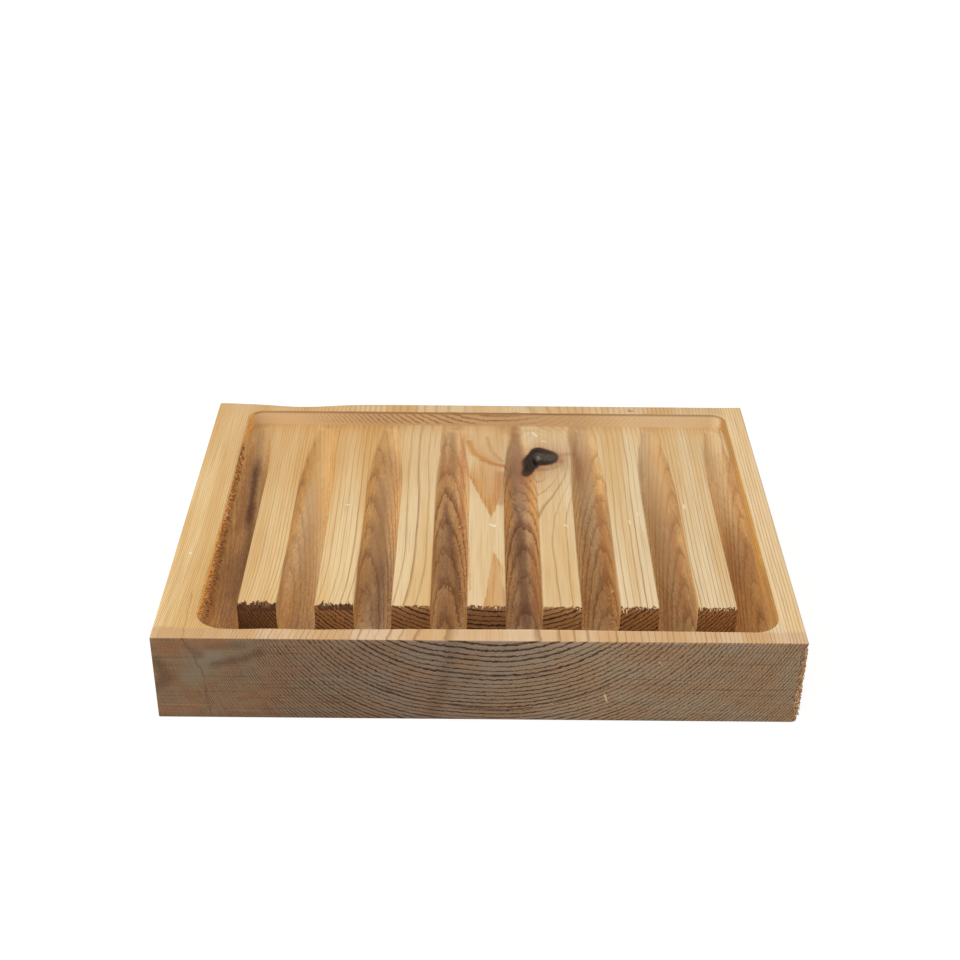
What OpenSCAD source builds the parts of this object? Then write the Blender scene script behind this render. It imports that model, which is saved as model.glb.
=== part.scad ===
// Ribbed soap dish cut from one softwood board, with a dead knot in its fifth rib.
// Millimetres, +Z up, origin at the centre of the underside, front rim towards -Y.
// The recess is sunk into the top. Below it, round-bottomed channels slope down from the back
// to a cross trough behind the front rim, and the ribs between them carry the soap.

/* [Board] */
// Width of the board, left to right
board_w = 120; // [110:1:150]
// Depth of the board, front to back
board_d = 90; // [80:1:130]
// Thickness of the planed board
board_h = 18.5; // [16:0.5:24]

/* [Recess] */
// Width of the rim on the left
left_rim_w = 7.5; // [3:0.1:10]
// Width of the rim on the right
right_rim_w = 4.3; // [3:0.1:10]
// Width of the rim at the front
front_rim_w = 3.5; // [3:0.1:8]
// Width of the rim at the back
back_rim_w = 3.6; // [3:0.1:8]
// Depth of the recess, from the rim down to the rib tops
recess_depth = 3.5; // [2:0.1:5]
// Radius of the recess's upright corners
recess_corner_r = 5; // [4:0.1:8]

/* [Ribs and channels] */
// Number of ribs
rib_count = 7; // [5:1:8]
// Width of each rib
rib_w = 7.5; // [5:0.1:8.5]
// Width of the first and last channels, beside the recess walls
side_channel_w = 6.2; // [5:0.1:8]
// Width of the level strip between the back wall and the channels
landing_w = 3.4; // [3:0.1:6]
// Depth of a channel at its back end
channel_start_depth = 0.4; // [0.2:0.1:1]

/* [Trough] */
// Wood left under the trough
floor_t = 6.7; // [5:0.1:8]
// How far the trough's floor lies below the channels' low ends
trough_drop = 0.5; // [0.4:0.1:1]
// Width of the cross trough, from the front wall to the rib ends
trough_w = 12; // [9:0.1:16]

/* [Knot] */
// Radius of the knot's round head
knot_r = 4; // [2:0.1:4.5]
// Radius of the knot's tail
knot_tail_r = 1.4; // [0.8:0.1:1.8]
// How far the middle of the head lies to the right of its rib's left side
knot_inset = 1.4; // [0.5:0.1:2]
// How far the middle of the head lies in front of the recess's back wall
knot_setback = 14; // [12:0.1:25]
// How far the tail's end lies to the left of the middle of the head
knot_tail_left = 2.65; // [2:0.05:3]
// How far the tail's end lies in front of the middle of the head
knot_tail_front = 4.2; // [2:0.1:5]
// How far the knot reaches down below the rib tops
knot_depth = 7; // [4:0.1:9]
// Gap all round between the knot and its socket
knot_gap = 0.15; // [0.1:0.05:0.3]

/* [Hidden] */

$fn = 96;
// How far each cut runs past the surface that it opens
overrun = 2;

// Walls of the recess
recess_left = left_rim_w - board_w / 2;
recess_right = board_w / 2 - right_rim_w;
recess_front = front_rim_w - board_d / 2;
recess_back = board_d / 2 - back_rim_w;

// Heights
rib_top_z = board_h - recess_depth;
channel_start_z = rib_top_z - channel_start_depth;
channel_end_z = floor_t + trough_drop;
knot_bottom_z = rib_top_z - knot_depth;

// Rib ends and channel starts
rib_front_y = recess_front + trough_w;
channel_start_y = recess_back - landing_w;

// The ribs were set out by hand. Each drifts a little from even spacing, as a share of a channel.
rib_drift_shares = [-0.02, -0.01, -0.01, -0.035, -0.05, -0.03, -0.01];
// How much larger the radius of a channel's bottom is than half the channel's width
nose_share = 0.03;
// How many ribs lie to the left of the one that holds the knot
knot_rib_count = 4;

channel_w = (recess_right - recess_left - 2 * side_channel_w - rib_count * rib_w) / (rib_count - 1);
function rib_drift(i) = i < len(rib_drift_shares) ? rib_drift_shares[i] * channel_w : 0;
function rib_left(i) = recess_left + side_channel_w + i * (rib_w + channel_w) + rib_drift(i);

// A channel runs from one rib's right side to the next one's left side, or to the recess wall
function channel_left(i) = i == 0 ? recess_left : rib_left(i - 1) + rib_w;
function channel_right(i) = i == rib_count ? recess_right : rib_left(i);

// All channels fall at one slope, from their start to the rib ends
channel_run = channel_start_y - rib_front_y;
channel_slope = atan((channel_start_z - channel_end_z) / channel_run);

knot_x = rib_left(knot_rib_count) + knot_inset;
knot_y = recess_back - knot_setback;

// Rectangle between two corners, with its own corners rounded
module rounded_outline(x0, y0, x1, y1, r) {
    translate([x0 + r, y0]) square([x1 - x0 - 2 * r, y1 - y0]);
    translate([x0, y0 + r]) square([x1 - x0, y1 - y0 - 2 * r]);
    for (x = [x0 + r, x1 - r], y = [y0 + r, y1 - r])
        translate([x, y]) circle(r);
}

// The shallow recess that the soap lies in
module recess_cut() {
    translate([0, 0, rib_top_z]) linear_extrude(recess_depth + overrun)
        rounded_outline(recess_left, recess_front, recess_right, recess_back, recess_corner_r);
}

// The cross trough that gathers the water behind the front rim. Its back corners open into the
// side channels, so only its front corners are rounded.
module trough_cut() {
    translate([0, 0, floor_t]) linear_extrude(rib_top_z - floor_t) intersection() {
        rounded_outline(recess_left, recess_front, recess_right, recess_back, recess_corner_r);
        translate([recess_left, recess_front]) square([recess_right - recess_left, trough_w]);
    }
}

// One channel: a round-bottomed slot that starts just below the rib tops at the back and falls
// forward, past the rib ends and over the trough. Its bottom is a little flatter than a half round,
// so it meets the walls at a faint edge. It is placed by its left wall, and the last one by its
// right wall, so that the side channels line up with the recess.
module channel_cut(i) {
    last = i == rib_count;
    w = channel_right(i) - channel_left(i);
    middle = last ? -w / 2 : w / 2;
    nose_r = w / 2 * (1 + nose_share);
    translate([last ? recess_right : channel_left(i), channel_start_y,
               channel_start_z + nose_r / cos(channel_slope)])
        rotate([90 + channel_slope, 0, 0])
            linear_extrude(channel_run / cos(channel_slope) + overrun) intersection() {
                translate([last ? -w : 0, -nose_r]) square([w, board_h]);
                union() {
                    translate([middle, 0]) circle(nose_r);
                    translate([middle - nose_r, 0]) square([2 * nose_r, board_h]);
                }
            }
}

// Outline of the knot seen from above: a round head with a short tail, grown all round by a gap
module knot_outline(grow) {
    tail_length = norm([knot_tail_left, knot_tail_front]);
    tail_r = knot_tail_r + grow;
    translate([knot_x, knot_y]) {
        circle(knot_r + grow);
        rotate(atan2(-knot_tail_front, -knot_tail_left)) {
            translate([0, -tail_r]) square([tail_length, 2 * tail_r]);
            translate([tail_length, 0]) circle(tail_r);
        }
    }
}

// Everything that the cutters take out of the board's top
module top_cuts() {
    recess_cut();
    trough_cut();
    for (i = [0 : rib_count]) channel_cut(i);
}

module dish_body() {
    color("burlywood") difference() {
        translate([-board_w / 2, -board_d / 2, 0]) cube([board_w, board_d, board_h]);
        top_cuts();
        translate([0, 0, knot_bottom_z]) linear_extrude(knot_depth + overrun) knot_outline(knot_gap);
    }
}

// The knot stands on the bottom of its socket and is cut level with the wood round it
module dead_knot() {
    color("darkslategray") difference() {
        translate([0, 0, knot_bottom_z]) linear_extrude(knot_depth) knot_outline(0);
        channel_cut(knot_rib_count);
        channel_cut(knot_rib_count + 1);
    }
}

dish_body();
dead_knot();
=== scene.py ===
# %% [markdown]
# A ribbed soap dish cut from one softwood board.
#
# The real dish is a planed board with a shallow recess sunk into its top. Eight round-bottomed
# channels slope down from the back to a cross trough behind the front rim, and the seven ribs left
# between them carry the soap. A dead knot sits in the fifth rib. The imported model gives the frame,
# and this script gives the board its soft edges, its torn fibres and its wood.

# %% Load the frame
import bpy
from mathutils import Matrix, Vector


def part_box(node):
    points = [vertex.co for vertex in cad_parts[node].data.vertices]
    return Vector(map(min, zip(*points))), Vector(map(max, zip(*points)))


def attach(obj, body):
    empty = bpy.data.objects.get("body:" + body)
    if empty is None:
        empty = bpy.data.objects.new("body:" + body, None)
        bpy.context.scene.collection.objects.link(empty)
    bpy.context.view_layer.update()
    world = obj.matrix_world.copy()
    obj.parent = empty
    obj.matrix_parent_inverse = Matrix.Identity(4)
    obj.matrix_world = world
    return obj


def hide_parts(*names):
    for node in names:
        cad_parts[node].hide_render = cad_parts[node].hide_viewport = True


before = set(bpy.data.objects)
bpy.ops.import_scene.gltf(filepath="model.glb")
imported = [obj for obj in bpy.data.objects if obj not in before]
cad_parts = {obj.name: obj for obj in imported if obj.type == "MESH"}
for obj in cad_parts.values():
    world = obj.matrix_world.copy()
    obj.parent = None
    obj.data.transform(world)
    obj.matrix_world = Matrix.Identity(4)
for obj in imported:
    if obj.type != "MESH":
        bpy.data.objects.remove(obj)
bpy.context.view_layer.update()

# %% [markdown]
# Sizes are written in millimetres, as on a drawing, and mm turns them into metres when a point is
# placed. The board's own size is read from the frame. The rest are the cutters' settings: how wide
# each rim is, how deep the recess goes, how wide the ribs are and how far the channels fall.

# %% Driving sizes
import math
import random

import bmesh
import bpy
from mathutils import Matrix, Vector, noise

mm = 0.001
board_low, board_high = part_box("dish_body")
board_w = (board_high.x - board_low.x) / mm
board_d = (board_high.y - board_low.y) / mm
board_h = (board_high.z - board_low.z) / mm

left_rim_w = 7.5
right_rim_w = 4.3
front_rim_w = 3.5
back_rim_w = 3.6
recess_depth = 3.5
recess_corner_r = 5.0
back_corner_r = 3.2

rib_count = 7
rib_w = 7.5
side_channel_w = 6.2
landing_w = 3.4
channel_start_depth = 0.4
trough_floor_z = 6.7
trough_drop = 0.5
trough_w = 12.0
rib_drift_shares = (-0.02, -0.01, -0.01, -0.035, -0.05, -0.03, -0.01)
nose_share = 0.03
print("board", round(board_w, 2), "x", round(board_d, 2), "x", round(board_h, 2), "mm")

# %% Where the cutters went
left_wall_x = left_rim_w - board_w / 2
right_wall_x = board_w / 2 - right_rim_w
front_wall_y = front_rim_w - board_d / 2
back_wall_y = board_d / 2 - back_rim_w
rib_top_z = board_h - recess_depth
rib_front_y = front_wall_y + trough_w
channel_start_y = back_wall_y - landing_w
channel_start_z = rib_top_z - channel_start_depth
channel_end_z = trough_floor_z + trough_drop
ribs_w = rib_count * rib_w
channel_w = (right_wall_x - left_wall_x - 2 * side_channel_w - ribs_w) / (rib_count - 1)
fall_share = (channel_start_z - channel_end_z) / (channel_start_y - rib_front_y)


def rib_left(i):
    even = left_wall_x + side_channel_w + i * (rib_w + channel_w)
    return even + rib_drift_shares[i] * channel_w


def channel_place(i):
    """Middle of channel i and half its width."""
    left = left_wall_x if i == 0 else rib_left(i - 1) + rib_w
    right = right_wall_x if i == rib_count else rib_left(i)
    return (left + right) / 2, (right - left) / 2


def floor_z(y):
    return min(channel_start_z, channel_end_z + (y - rib_front_y) * fall_share)


print("channels", round(channel_w, 3), "mm wide, falling", round(fall_share, 4), "mm a millimetre")

# %% [markdown]
# The board's top is one skin. It could be cut with Boolean cutters, but those leave long thin faces
# that can't be softened or torn. So the skin is a grid laid over the cut shape like a cloth: its
# columns follow the section across ribs and channels, and its rows run from the front edge to the
# back. A section first needs the profile that the round-nosed cutter leaves, measured along its
# own length, so that the columns stay evenly spaced where a wall grows out of the rounding.

# %% Profile of a channel
edge_r = 0.28


def nose(half_w, y):
    """Radius of the cutter's nose, how far it cuts sideways here and how high a wall stands on it."""
    nose_r = half_w * (1 + nose_share)
    rise = nose_r - math.sqrt(nose_r ** 2 - half_w ** 2)
    depth = rib_top_z - floor_z(y)
    if depth < rise:
        return nose_r, math.sqrt(depth * (2 * nose_r - depth)), 0.0
    return nose_r, half_w, depth - rise


def profile_point(half_w, y, share, ledge=False):
    """Across and up from the middle of the floor, at a share of the way to the rib's edge.

    Towards the recess's wall a level ledge is left at the back instead of an upright wall.
    """
    nose_r, out, wall = nose(half_w, y)
    arc = nose_r * math.asin(out / nose_r)
    run = share * (arc + (half_w - out if ledge else wall))
    if run <= arc:
        angle = run / nose_r
        return nose_r * math.sin(angle), nose_r * (1 - math.cos(angle))
    depth = rib_top_z - floor_z(y)
    return (out + run - arc, depth) if ledge else (out, depth - (arc + wall - run))


def profile_length(half_w, y):
    nose_r, out, wall = nose(half_w, y)
    return nose_r * math.asin(out / nose_r) + wall


half_channel = channel_w / 2
print("profile at the front", [round(v, 2) for v in profile_point(half_channel, rib_front_y, 1)])

# %% [markdown]
# Each row of the bed, the part inside the recess, is one section from the left wall's foot to the
# right wall's foot. Every arris of a rib is eased a little with a curve through three points, as
# fine sandpaper leaves it. Where the bed is flat, in the trough and under the front rim, the same
# columns need other places, because the columns of an upright wall would lie on each other there.

# %% Sections across the bed
half_channel_count = 11
rib_top_count = 30
foot_w = 1.6


def eased(a, corner, b, share):
    """A point on the curve that runs from a to b and leans towards the corner between them."""
    keep = 1 - share
    return tuple(keep * keep * p + 2 * keep * share * q + share * share * r
                 for p, q, r in zip(a, corner, b))


def channel_steps(i):
    """Steps across channel i: side, share of the way out, and whether the recess's wall is there."""
    for j in range(-half_channel_count, half_channel_count + 1):
        side = -1 if j < 0 else 1
        at_wall = (i == 0 and side < 0) or (i == rib_count and side > 0)
        yield side, abs(j) / half_channel_count, at_wall


def channel_points(i, y):
    """Points across channel i, from its left edge to its right edge, both eased."""
    middle, half = channel_place(i)
    inner_share = 1 - edge_r / profile_length(half, y)
    points = []
    for side, share, at_wall in channel_steps(i):
        across, up = profile_point(half, y, share * (1 if at_wall else inner_share), at_wall)
        points.append((middle + side * across, floor_z(y) + up))
    return points


def rib_edges(i, y):
    """Left and right edge of rib i's top. They spread towards the back, where the cuts are shallow."""
    edges = []
    for channel, side in ((i, 1), (i + 1, -1)):
        middle, half = channel_place(channel)
        edges.append(middle + side * nose(half, y)[1])
    return edges


def bed_section(y):
    points = channel_points(0, y)
    for i in range(rib_count):
        left, right = rib_edges(i, y)
        next_points = channel_points(i + 1, y)
        first = (left + edge_r, rib_top_z)
        last = (right - edge_r, rib_top_z)
        points += [eased(points[-1], (left, rib_top_z), first, s / 3) for s in (1, 2)]
        for k in range(rib_top_count + 1):
            share = k / rib_top_count
            points.append((first[0] + (last[0] - first[0]) * share, rib_top_z))
        points += [eased(last, (right, rib_top_z), next_points[0], s / 3) for s in (1, 2)]
        points += next_points
    return points


def bed_flat():
    """Where the same columns lie across the flat trough, in x alone."""
    places = []
    for i in range(rib_count + 1):
        middle, half = channel_place(i)
        nose_r, out, wall = nose(half, rib_front_y)
        arc = nose_r * math.asin(out / nose_r)
        row = []
        for side, share, at_wall in channel_steps(i):
            run = share * (arc + wall)
            if at_wall:
                across = half * share
            elif run <= arc:
                across = half * run / arc
            else:
                across = half + foot_w * (run - arc) / wall
            row.append(middle + side * across)
        if places:
            start = places[-1]
            steps = rib_top_count + 6
            places += [start + (row[0] - start) * k / steps for k in range(1, steps)]
        places += row
    return places


end_section = bed_section(rib_front_y)
start_section = bed_section(channel_start_y)
flat_places = bed_flat()
print("columns in the bed:", len(end_section), len(flat_places))

# %% [markdown]
# Round the bed run the walls, the rims and the outer edges. Their columns and rows are numbered by
# how far they lie outside the wall's foot. A wall is upright, so it takes no room in the plan, yet
# its columns have to turn the recess's rounded corners without lying on each other. So they are
# given a made-up width, wall_span, and the plan then bends that square ring onto the round corner.

# %% Steps from a wall's foot out to the board's edge
wall_span = 1.5
straight_share = 0.6
straight_count = 4
ease_count = 3
outer_r = 0.3


def border_steps(rim_w, rim_count):
    """Each step is (distance outside the foot, share of the wall climbed, share of the outer edge)."""
    steps = [(wall_span * straight_share * k / straight_count,
              straight_share * k / straight_count, 0) for k in range(1, straight_count + 1)]
    for k in range(1, ease_count + 1):
        share = straight_share + (1 - straight_share) * k / ease_count
        steps.append((wall_span * share, share, 0))
    level_w = rim_w - edge_r - outer_r
    steps += [(wall_span + level_w * k / rim_count, 1, 0) for k in range(1, rim_count + 1)]
    steps += [(wall_span + level_w, 1, k / ease_count) for k in range(1, ease_count + 1)]
    return steps


def wall_climb(foot, share):
    """Height on a wall, and how far its eased top arris has leaned outwards."""
    if share <= straight_share:
        return foot + (board_h - edge_r - foot) * share / straight_share, 0.0
    turn = (share - straight_share) / (1 - straight_share) * math.pi / 2
    return board_h - edge_r * (1 - math.sin(turn)), edge_r * (1 - math.cos(turn))


left_steps = border_steps(left_rim_w, 6)
right_steps = border_steps(right_rim_w, 6)
front_steps = border_steps(front_rim_w, 4)
back_steps = border_steps(back_rim_w, 4)
print("steps left, right, front, back:", [len(s) for s in (left_steps, right_steps,
                                                           front_steps, back_steps)])

# %% Bend the square ring onto the recess's round corners
def plan(x, y, lean):
    """Place in the plan of a point whose made-up place is x, y."""
    side_x, rim_x = (-1, left_rim_w) if x < 0 else (1, right_rim_w)
    side_y, rim_y = (-1, front_rim_w) if y < 0 else (1, back_rim_w)
    corner_r = recess_corner_r if y < 0 else back_corner_r
    centre_x = side_x * (board_w / 2 - rim_x - corner_r)
    centre_y = side_y * (board_d / 2 - rim_y - corner_r)
    a = max(0.0, side_x * (x - centre_x))
    b = max(0.0, side_y * (y - centre_y))
    reach = max(a, b)
    if reach == 0:
        return x, y
    rim_start = corner_r + wall_span
    if reach <= corner_r:
        radius = reach
    elif reach <= rim_start + 1e-9:
        radius = corner_r + lean
    else:
        radius = corner_r + edge_r + reach - rim_start
    far = math.hypot(a, b)
    out_a, out_b = a / far * radius, b / far * radius
    if reach > rim_start + 1e-9:
        level_x = rim_x - edge_r - outer_r
        level_y = rim_y - edge_r - outer_r
        across = max((a - rim_start) / level_x, (b - rim_start) / level_y)
        square_a = a * (corner_r + rim_x - outer_r) / (rim_start + level_x)
        square_b = b * (corner_r + rim_y - outer_r) / (rim_start + level_y)
        out_a += (square_a - out_a) * across
        out_b += (square_b - out_b) * across
    return (centre_x + side_x * out_a if a > 0 else x,
            centre_y + side_y * out_b if b > 0 else y)


print("corner of the recess bends to", [round(v, 2) for v in plan(left_wall_x, front_wall_y, 0)])

# %% [markdown]
# The rows of the bed come in groups. The trough is level. At the rib ends several rows share one
# place: they climb the end faces from the trough's floor to the ribs' section. Then come the
# sloping channels, with closer rows round the knot, the short run where the cutter lifts out, and
# the level landing in front of the back wall. Beside the rib ends the rows of the walls are spread a
# little, because there is no end face to climb there.

# %% Rows that climb the rib ends
climb_shares = (0.0, 0.2, 0.4, 0.6, 0.8)
arris_shares = (0.0, 1 / 3, 2 / 3)
end_spread = 0.25


def climbed(share):
    """Row on the end faces, part of the way up from the trough's floor."""
    return [(fx + (x - fx) * share, rib_front_y, trough_floor_z + (z - trough_floor_z) * share)
            for fx, (x, z) in zip(flat_places, end_section)]


def end_arris(share):
    """Row that eases the arris between the end faces and the ribs' section."""
    row = []
    behind = bed_section(rib_front_y + edge_r)
    for fx, (x, z), (back_x, back_z) in zip(flat_places, end_section, behind):
        length = math.dist((fx, trough_floor_z), (x, z))
        keep = min(edge_r / length, 0.35)
        below = (x + (fx - x) * keep, rib_front_y, z + (trough_floor_z - z) * keep)
        corner = (x, rib_front_y, z)
        row.append(eased(below, corner, (back_x, rib_front_y + edge_r, back_z), share))
    return row


end_rows = [climbed(share) for share in climb_shares]
end_rows += [end_arris(share) for share in arris_shares]
print("rows on the rib ends:", len(end_rows))

# %% All rows of the bed, from the front wall to the back wall
knot_front_y = 20.5
knot_back_y = 33.5
lift_out = 1.4
lift_shares = (0.35, 0.65, 0.88, 1.0)


def spaced(start, end, step):
    count = max(1, round((end - start) / step))
    return [start + (end - start) * k / count for k in range(count)]


def sections(places):
    return [(y, [(x, y, z) for x, z in bed_section(y)]) for y in places]


end_rows += [row for y, row in sections(rib_front_y + step for step in (edge_r, 0.5, 0.75, 1.0))]
bed_rows = [(y, [(x, y, trough_floor_z) for x in flat_places])
            for y in spaced(front_wall_y, rib_front_y - 1.75, 1.05)]
for k, row in enumerate(end_rows):
    bed_rows.append((rib_front_y + end_spread * (k - 6), row))
bed_rows += sections([rib_front_y + 1.35])
bed_rows += sections(spaced(rib_front_y + 1.8, knot_front_y, 1.25))
bed_rows += sections(spaced(knot_front_y, knot_back_y, 0.26))
bed_rows += sections(spaced(knot_back_y, channel_start_y, 1.2))
bed_rows += sections([channel_start_y])
for share in lift_shares:
    y = channel_start_y + lift_out * share
    still_deep = math.sqrt(1 - share * share)
    bed_rows.append((y, [(x, y, rib_top_z - (rib_top_z - z) * still_deep)
                         for x, z in start_section]))
bed_rows += [(y, [(x, y, rib_top_z) for x, z in start_section])
             for y in (back_wall_y - 1.3, back_wall_y - 0.6, back_wall_y)]
print("rows in the bed:", len(bed_rows))

# %% [markdown]
# Now the grid itself. bmesh.ops.create_grid makes a flat grid with one vertex for each column and
# row, and every vertex is carried to its place. A vertex takes its height from the bed, from the
# wall it stands on, or from the rim, and the outer edges turn over in a small quarter round.

# %% Lay the grid over the cut shape
def border_place(steps, foot, side):
    return [(foot + side * out, climb, edge) for out, climb, edge in steps]


bed_count = len(flat_places)
left_columns = border_place(left_steps, left_wall_x, -1)[::-1]
right_columns = border_place(right_steps, right_wall_x, 1)
front_rows = border_place(front_steps, front_wall_y, -1)[::-1]
back_rows = border_place(back_steps, back_wall_y, 1)
column_count = len(left_columns) + bed_count + len(right_columns)
row_count = len(front_rows) + len(bed_rows) + len(back_rows)


def row_facts(j):
    """What every vertex of row j shares: made-up y, share of the wall, share of the edge, bed."""
    if j < len(front_rows):
        y, climb, edge = front_rows[j]
        return y, climb, -edge, [(x, y, trough_floor_z) for x in flat_places]
    j -= len(front_rows)
    if j < len(bed_rows):
        side_y, bed = bed_rows[j]
        return side_y, 0, 0, bed
    y, climb, edge = back_rows[j - len(bed_rows)]
    return y, climb, edge, [(x, y, rib_top_z) for x, z in start_section]


def column_facts(i, bed):
    """The same for column i, with its point of the bed."""
    if i < len(left_columns):
        x, climb, edge = left_columns[i]
        return x, climb, -edge, bed[0]
    i -= len(left_columns)
    if i < bed_count:
        return bed[i][0], 0, 0, bed[i]
    x, climb, edge = right_columns[i - bed_count]
    return x, climb, edge, bed[-1]


def skin_point(i, j):
    side_y, row_climb, row_edge, bed = row_facts(j)
    x, column_climb, column_edge, (_, bed_y, z) = column_facts(i, bed)
    y = side_y if row_climb or column_climb else bed_y
    climb = max(row_climb, column_climb)
    lean = 0.0
    if climb:
        z, lean = wall_climb(z, climb)
    x, y = plan(x, y, lean)
    edge = max(abs(row_edge), abs(column_edge))
    if edge:
        turn = edge * math.pi / 2
        out = outer_r * math.sin(turn) / math.hypot(row_edge, column_edge)
        x += column_edge * out
        y += row_edge * out
        z -= outer_r * (1 - math.cos(turn))
    return x, y, z


board = bmesh.new()
bmesh.ops.create_grid(board, x_segments=column_count - 1, y_segments=row_count - 1, size=1)
board.verts.ensure_lookup_table()
for k, vertex in enumerate(board.verts):
    vertex.co = Vector(skin_point(k % column_count, k // column_count))
print("skin:", column_count, "columns,", row_count, "rows,", len(board.faces), "faces")

# %% [markdown]
# The outer faces hang from the skin's border. The border is extruded down in level steps, so that
# the sawn faces can be made a little uneven later, then turned under in a small quarter round, and
# the underside closes the shape as one flat face for the dish to rest on.

# %% Hang the outer faces and close the underside
side_steps = 12
side_top_z = board_h - outer_r


def extrude_border(edges):
    made = bmesh.ops.extrude_edge_only(board, edges=edges)["geom"]
    verts = [item for item in made if isinstance(item, bmesh.types.BMVert)]
    edges = [item for item in made if isinstance(item, bmesh.types.BMEdge)
             and all(v in set(verts) for v in item.verts)]
    return verts, edges


border = [edge for edge in board.edges if edge.is_boundary]
for k in range(1, side_steps + 1):
    verts, border = extrude_border(border)
    for vertex in verts:
        vertex.co.z = side_top_z + (outer_r - side_top_z) * k / side_steps
for k in range(1, ease_count + 1):
    verts, border = extrude_border(border)
    turn = k / ease_count * math.pi / 2
    for vertex in verts:
        inset = outer_r * (1 - math.cos(turn))
        reach_x = board_w / 2 - inset
        reach_y = board_d / 2 - inset
        vertex.co.x = max(-reach_x, min(reach_x, vertex.co.x))
        vertex.co.y = max(-reach_y, min(reach_y, vertex.co.y))
        vertex.co.z = outer_r * (1 - math.sin(turn))
bmesh.ops.edgeloop_fill(board, edges=border)
bmesh.ops.recalc_face_normals(board, faces=board.faces)
print("board:", len(board.verts), "vertices, volume", round(board.calc_volume(), 1), "cubic mm")

# %% [markdown]
# The dead knot is the stub of a branch that died before the stem grew round it, so its bark stayed
# between it and the wood and it sits in the board like a loose plug. Its outline is a blend of four
# round shapes: the head, a bump at its back, a second body to the left, and a tail that runs down
# the side of the channel. smooth_least joins them with a soft neck instead of a sharp corner.

# %% Outline of the knot
neck = 1.2
knot_middle = (12.5, 26.7)
knot_rounds = ((13.9, 27.3, 3.2), (13.0, 30.0, 1.3), (12.0, 27.5, 2.15))
tail_from = (11.6, 26.8)
tail_to = (11.05, 23.7)
tail_r = 1.6


def smooth_least(a, b):
    share = max(0.0, min(1.0, 0.5 + 0.5 * (b - a) / neck))
    return b + (a - b) * share - neck * share * (1 - share)


def knot_gap(x, y):
    """How far a point lies outside the knot's outline. Inside it is below zero."""
    ax, ay = tail_from
    bx, by = tail_to
    part = ((x - ax) * (bx - ax) + (y - ay) * (by - ay)) / ((bx - ax) ** 2 + (by - ay) ** 2)
    part = max(0.0, min(1.0, part))
    gap = math.dist((x, y), (ax + (bx - ax) * part, ay + (by - ay) * part)) - tail_r
    for cx, cy, r in knot_rounds:
        gap = smooth_least(gap, math.dist((x, y), (cx, cy)) - r)
    return gap


def knot_reach(angle):
    """Distance from the knot's middle to its outline, found by halving."""
    near, far = 0.0, 7.0
    for _ in range(24):
        middle = (near + far) / 2
        x = knot_middle[0] + middle * math.cos(angle)
        y = knot_middle[1] + middle * math.sin(angle)
        if knot_gap(x, y) < 0:
            near = middle
        else:
            far = middle
    return near


def bed_height(x, y):
    """Height of the ribs and channels at x, y."""
    for i in range(rib_count + 1):
        middle, half = channel_place(i)
        off = abs(x - middle)
        nose_r, out, wall = nose(half, y)
        if off < out:
            return min(rib_top_z, floor_z(y) + nose_r - math.sqrt(nose_r ** 2 - off ** 2))
    return rib_top_z


print("knot reaches", [round(knot_reach(math.radians(a)), 2) for a in range(0, 360, 45)])

# %% [markdown]
# Under the knot the board's skin is pressed down, so that the knot doesn't share its place with the
# wood. Vertices close to the outline are moved onto it, which gives the socket a clean edge. The
# knot's own skin starts from a sphere: the upper half is laid flat as rings inside the outline, and
# the lower half becomes the plug's side and end, deep in the board.

# %% Socket in the board
socket_depth = 1.7
socket_reach = 8
snap = 0.14
snap_inside = 0.02
step = 0.01
for vertex in board.verts:
    x, y, z = vertex.co
    if z < rib_top_z / 2 or math.dist((x, y), knot_middle) > socket_reach:
        continue
    gap = knot_gap(x, y)
    if gap < -snap:
        vertex.co.z -= socket_depth
    elif gap < snap:
        out_x = (knot_gap(x + step, y) - gap) / step
        out_y = (knot_gap(x, y + step) - gap) / step
        x -= (gap + snap_inside) * out_x
        y -= (gap + snap_inside) * out_y
        vertex.co = Vector((x, y, bed_height(x, y)))
print("socket pressed", socket_depth, "mm into the board")

# %% Dark fringe round the knot
dark_fringe_w = 0.8
halo_w = 4.2
halo_reach = 14
halo_turn = 0.9
dark_fringe_layer = board.verts.layers.float.new("dark_fringe")
halo_layer = board.verts.layers.float.new("halo")
for vertex in board.verts:
    x, y, z = vertex.co
    if z > rib_top_z / 2 and math.dist((x, y), knot_middle) < halo_reach:
        gap = max(0.0, knot_gap(x, y))
        angle = math.atan2(y - knot_middle[1], x - knot_middle[0])
        to_front_right = 0.5 + 0.5 * math.cos(angle + halo_turn)
        vertex[dark_fringe_layer] = max(0.0, 1 - gap / dark_fringe_w)
        vertex[halo_layer] = math.exp(-gap / halo_w) * (0.5 + 0.5 * to_front_right)
print("stain reaches", dark_fringe_w, "mm from the knot")

# %% The knot
plug_depth = 6.0
side_share = 0.6
overlap = 0.08
above_bed = 0.07
hole_at = (12.35, 26.3)
hole_depth = 2.2
ridge_at = (13.1, 27.8)
ridge_h = 0.35
tail_dip_at = (10.9, 24.6)
tail_dip = 0.5
knot = bmesh.new()
bmesh.ops.create_uvsphere(knot, u_segments=176, v_segments=40, radius=1)
rim_layer = knot.verts.layers.float.new("rim")


def bump_at(x, y, centre, wide, long):
    return math.exp(-((x - centre[0]) / wide) ** 2 - ((y - centre[1]) / long) ** 2)


def lifted(x, y, height):
    """Point that stands off the bed at x, y, square to it."""
    step = 0.02
    slope_x = (bed_height(x + step, y) - bed_height(x - step, y)) / (2 * step)
    slope_y = (bed_height(x, y + step) - bed_height(x, y - step)) / (2 * step)
    return Vector((x, y, bed_height(x, y))) + Vector((-slope_x, -slope_y, 1)).normalized() * height


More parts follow.
